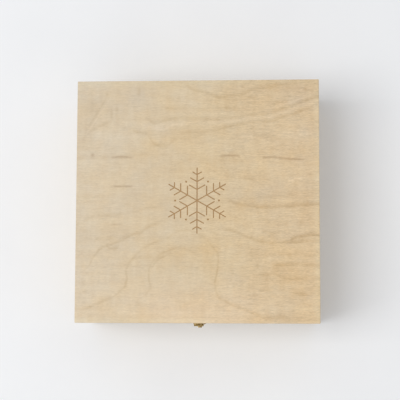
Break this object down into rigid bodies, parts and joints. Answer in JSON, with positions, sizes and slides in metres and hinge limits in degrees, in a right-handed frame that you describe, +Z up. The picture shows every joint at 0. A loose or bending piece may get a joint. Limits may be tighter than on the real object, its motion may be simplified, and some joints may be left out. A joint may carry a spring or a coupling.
{
  "type": "wooden storage box",
  "caption": "Square light wooden box with finger-jointed walls, a hinged lid topped by a veneered panel, brass butt hinges at the back and a brass hasp clasp at the front.",
  "frame": {"origin": "centre of the underside, on the plane that the box stands on", "axes": "+Z up, -Y out of the front, where the clasp is, +Y out of the back, where the hinges are, +X to the right seen from the front"},
  "size_m": [0.25, 0.2594, 0.1106],
  "materials": {
    "lid_veneer": "birch veneer, sanded, with a thin matt lacquer and a laser-engraved motif",
    "solid_wood": "light solid wood, sanded, bare",
    "plywood": "birch plywood, sanded, bare",
    "brass": "pressed yellow brass, lightly tarnished"
  },
  "bodies": {
    "base": {"base_front_wall": "solid_wood", "base_back_wall": "solid_wood", "base_left_wall": "solid_wood", "base_right_wall": "solid_wood", "base_floor_panel": "plywood", "left_hinge_base_leaf": "brass", "left_hinge_pin": "brass", "left_hinge_base_screw_1": "brass", "left_hinge_base_screw_2": "brass", "right_hinge_base_leaf": "brass", "right_hinge_pin": "brass", "right_hinge_base_screw_1": "brass", "right_hinge_base_screw_2": "brass", "clasp_keeper": "brass", "clasp_keeper_nail_1": "brass", "clasp_keeper_nail_2": "brass"},
    "lid": {"lid_front_rail": "solid_wood", "lid_back_rail": "solid_wood", "lid_left_rail": "solid_wood", "lid_right_rail": "solid_wood", "lid_top_panel": "lid_veneer", "left_hinge_lid_leaf": "brass", "left_hinge_lid_screw_1": "brass", "left_hinge_lid_screw_2": "brass", "right_hinge_lid_leaf": "brass", "right_hinge_lid_screw_1": "brass", "right_hinge_lid_screw_2": "brass", "clasp_plate": "brass", "clasp_pin": "brass", "clasp_plate_nail_1": "brass", "clasp_plate_nail_2": "brass"},
    "hasp": {"clasp_hasp": "brass"}
  },
  "joints": [
    {"name": "lid_hinge", "type": "hinge", "parent": "base", "child": "lid", "pos_m": [0, 0.1274, 0.07015], "axis": [-1, 0, 0], "range_deg": [0, 180]},
    {"name": "hasp_hinge", "type": "hinge", "parent": "lid", "child": "hasp", "pos_m": [0, -0.1268, 0.0755], "axis": [-1, 0, 0], "range_deg": [-4.8, 165]}
  ]
}
